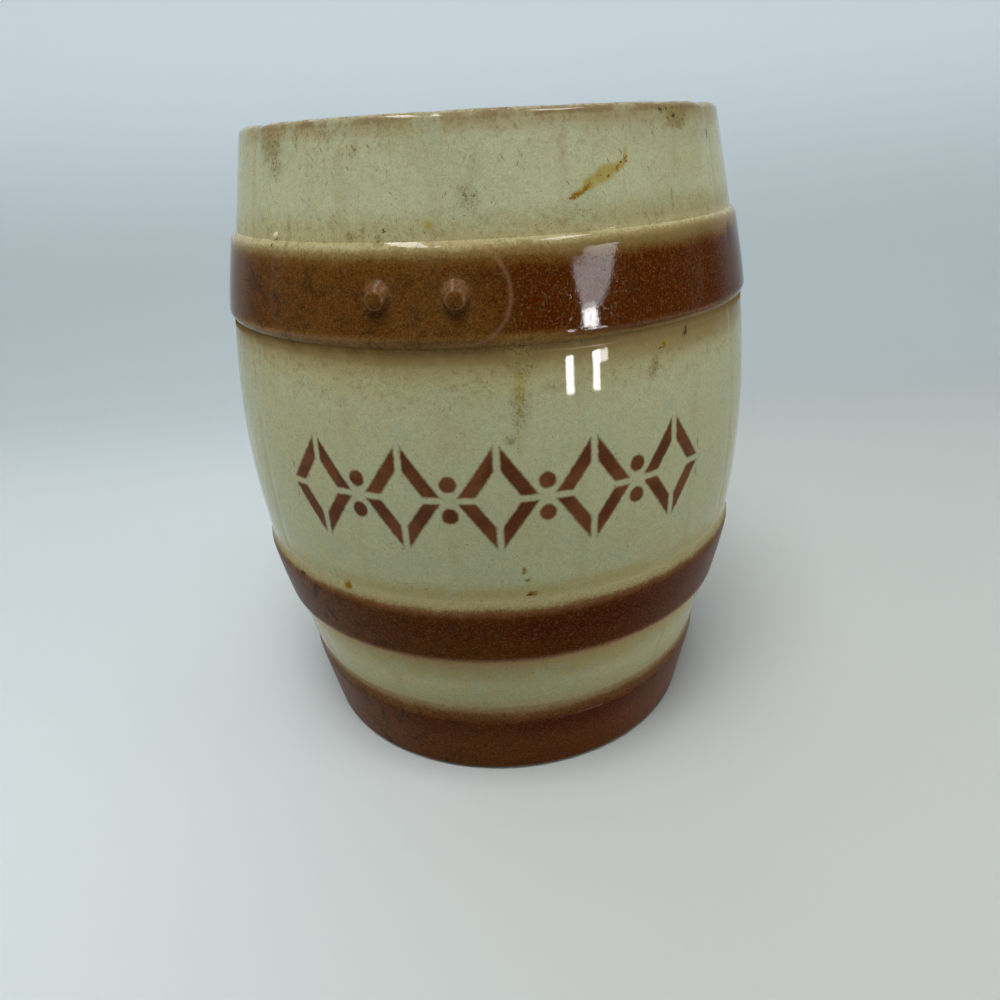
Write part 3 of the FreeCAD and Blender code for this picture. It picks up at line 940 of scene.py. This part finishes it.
def makeBead():
    # an egg: rings of radius r sin(t), heights length cos(t), its outward side a little flattened
    turn = np.linspace(0, math.pi, bead["rings"])[:, None]
    spin = np.linspace(0, 2.0 * math.pi, bead["spokes"], endpoint=False)[None, :]
    across = bead["radius"] * np.sin(turn) * np.sin(spin)
    out = bead["flatness"] * bead["radius"] * np.sin(turn) * np.cos(spin) + bead["sunk"]
    up = bead["length"] * np.cos(turn) * (1.0 + bead["taper"] * np.cos(turn))
    theta = bead["angle"] + np.degrees(across / radiusAt(bead["height"]))
    every = facePoints(theta, bead["height"] + up, out)
    grid, ends = every[1:-1], every[[0, -1], 0]
    faces = tubeFaces(*grid.shape[:2], -1)
    shine = {"bead": bead["shine"] * np.ones(grid[..., 0].size + len(ends))}
    makePiece("glazeBead", [grid, ends], faces, shine, creamGlaze)


makeBarrelWall()
makeBead()
makeHoop("upper_hoop", brownGlaze, np.arange(*lap["columns"]))
makeHoop("lower_hoop", rubbedGlaze)
makeHoop("foot_hoop", rubbedGlaze)
for name, (node, angle) in rivets["places"].items():
    makeRivet(name, node, angle)
print("pieces made")


# ---- floor and backdrop ----

# the colour changes over these distances in metres: from left to right, away from the viewer, and upward.
# The sheet is painted darker toward the right and far off and paler high up: painted shade and light
stage = {"halfWidth": 2400, "front": -1500, "back": 520, "cove": 260, "top": 2200, "coveRows": 24,
         "left": paint(193, 200, 201), "right": paint(179, 182, 179),
         "far": paint(166, 177, 181), "high": paint(199, 210, 216),
         "rightFade": (-0.16, 0.06), "farFade": (0.1, 0.45), "highFade": (0.06, 0.27)}


def stageMaterial():
    desk = NodeDesk(bpy.data.materials.new("stageSheet"))
    x, y, z = desk.axes(desk.add("TexCoord").outputs["Object"])
    # painted shade and light: darker toward the right and far off, paler high up
    colour = desk.mix(desk.between(x, *stage["rightFade"]), stage["left"], stage["right"])
    colour = desk.mix(desk.between(y, *stage["farFade"]), colour, stage["far"])
    colour = desk.mix(desk.between(z, *stage["highFade"]), colour, stage["high"])
    return desk.finish({"Base Color": colour, "Roughness": 0.9, "Specular IOR Level": 0})


def makeStage():
    # a floor that turns up into a wall through a quarter circle, the same all along x
    turn = np.linspace(0, math.pi / 2, stage["coveRows"])
    coveY = stage["back"] - stage["cove"] + stage["cove"] * np.sin(turn)
    coveZ = stage["cove"] * (1.0 - np.cos(turn))
    y = np.concatenate([[stage["front"]], coveY, [stage["back"]]])[:, None]
    z = np.concatenate([[0], coveZ, [stage["top"]]])[:, None]
    x = np.array([[-stage["halfWidth"], stage["halfWidth"]]])
    points = np.stack(np.broadcast_arrays(x, y, z), axis=-1)
    makeBody("stageSheet", [points], gridFaces(len(y), 2, False, False), stageMaterial())


makeStage()


# ---- light ----

lights = {
    # the world's strength before the jar and beyond it, and the bearings (-cosine) between which it changes
    "world": {"colour": paint(236, 240, 242), "front": 0.205, "back": 1.05, "from": -0.12, "to": 0.5},
    # bearing and height in degrees, distance, width and height, power
    "fills": {
        "above": ((-14, 70), 1100, (600, 520), 12.7),
        "right": ((76, 8), 1100, (500, 400), 4.2),
        "left": ((-84, 5), 900, (500, 300), 1.7),
    },
    # panes are seen only as reflections: bearing and height, width and height, all in degrees; radiance
    "panes": {
        "sill": ((42, 5.4), (6, 6.2), 200),
        "lowLeft": ((32.6, -3.2), (3.2, 7.2), 140),
        "lowRight": ((43, -3.2), (3.2, 6.6), 140),
        "lowCorner": ((45.6, -0.9), (6.4, 2.2), 90),
        "overLeft": ((-92, 70.5), (30, 9), 38),
        "overRight": ((76, 69), (18, 9), 38),
    },
    # a long pane that lies nearly level, so that it narrows downward in the hoop: mm from the lit spot
    "skylight": {"bearing": 40.7, "rise": 4.5, "near": 455, "far": 1450, "aside": 60, "width": 189,
                 "over": 100, "radiance": 33},
    "paneDistance": 1100,
    "filled": (0, 0, 90),  # the fills face this spot
    "lit": (22, -65, 124),  # the spot on the jar that the panes face
}


def direction(azimuth, elevation):
    # a unit vector from its bearing off the front and its height above the level
    a, e = math.radians(azimuth), math.radians(elevation)
    return Vector((math.sin(a) * math.cos(e), -math.cos(a) * math.cos(e), math.sin(e)))


def areaLight(name, middle, turn, size, power):
    # a rectangle that shines along its own -Z
    lamp = bpy.data.lights.new(name, "AREA")
    lamp.shape = "RECTANGLE"
    lamp.size, lamp.size_y = size[0] * mm, size[1] * mm
    lamp.energy = power
    return addBody(name, lamp, middle, turn)


def facingLight(name, aim, away, distance, size, power):
    turn = (-away).to_track_quat("-Z", "Y").to_matrix()
    return areaLight(name, Vector(aim) + away * distance, turn, size, power)


def panePower(radiance, size):
    # the power at which a pane of that size in mm has that radiance
    return radiance * math.pi * size[0] * size[1] * mm * mm


def makeSkylight():
    row = lights["skylight"]
    along, across = direction(row["bearing"], row["rise"]), direction(row["bearing"] - 90, 0)
    upward = across.cross(along)
    middle = Vector(lights["lit"]) + along * (row["near"] + row["far"]) / 2
    middle += upward * row["over"] - across * row["aside"]
    size = (row["width"], row["far"] - row["near"])
    turn = Matrix((across, along, upward)).transposed()
    areaLight("pane_skylight", middle, turn, size, panePower(row["radiance"], size)).visible_diffuse = False


def makeWorld():
    # the room is dim behind the viewer and bright beyond the jar
    world, row = bpy.data.worlds.new("softRoom"), lights["world"]
    bpy.context.scene.world = world
    desk = NodeDesk(world)
    ahead = desk.axes(desk.add("TexCoord").outputs["Generated"])[1]
    strength = desk.between(ahead, row["from"], row["to"], row["front"], row["back"])
    desk.finish({"Color": row["colour"], "Strength": strength}, "Background", "OutputWorld")


makeWorld()
for fillName, (bearing, distance, size, power) in lights["fills"].items():
    away = direction(*bearing)
    facingLight("fill_" + fillName, lights["filled"], away, distance, size, power).visible_glossy = False
for paneName, (bearing, spread, radiance) in lights["panes"].items():
    away, distance = direction(*bearing), lights["paneDistance"]
    size = [2.0 * distance * math.tan(math.radians(angle / 2)) for angle in spread]
    power = panePower(radiance, size)
    facingLight("pane_" + paneName, lights["lit"], away, distance, size, power).visible_diffuse = False
makeSkylight()
print("lights placed")


# ---- camera ----

# focal length and width of the frame in the same unit
view = {"eye": (0.0, -215.3, 159.5), "yaw": 0.131, "pitch": 25.6, "roll": -3.09,
        "focal": 750.92, "frame": 1000.0, "sensor": 36.0, "nearest": 0.01}


def makeCamera():
    yaw, pitch, roll = [math.radians(view[key]) for key in ("yaw", "pitch", "roll")]
    forward = Vector((math.sin(yaw) * math.cos(pitch), math.cos(yaw) * math.cos(pitch), -math.sin(pitch)))
    level = forward.cross(Vector((0, 0, 1))).normalized()
    upright = level.cross(forward)
    right = level * math.cos(roll) + upright * math.sin(roll)
    up = -level * math.sin(roll) + upright * math.cos(roll)
    lens = bpy.data.cameras.new("camera")
    lens.sensor_width = view["sensor"]
    lens.sensor_fit = "HORIZONTAL"
    lens.lens = view["focal"] / view["frame"] * lens.sensor_width
    lens.clip_start = view["nearest"]
    turn = Matrix((right, up, -forward)).transposed()
    bpy.context.scene.camera = addBody("camera", lens, view["eye"], turn)


makeCamera()
bpy.context.scene.view_settings.view_transform = "Standard"

print("scene ready")
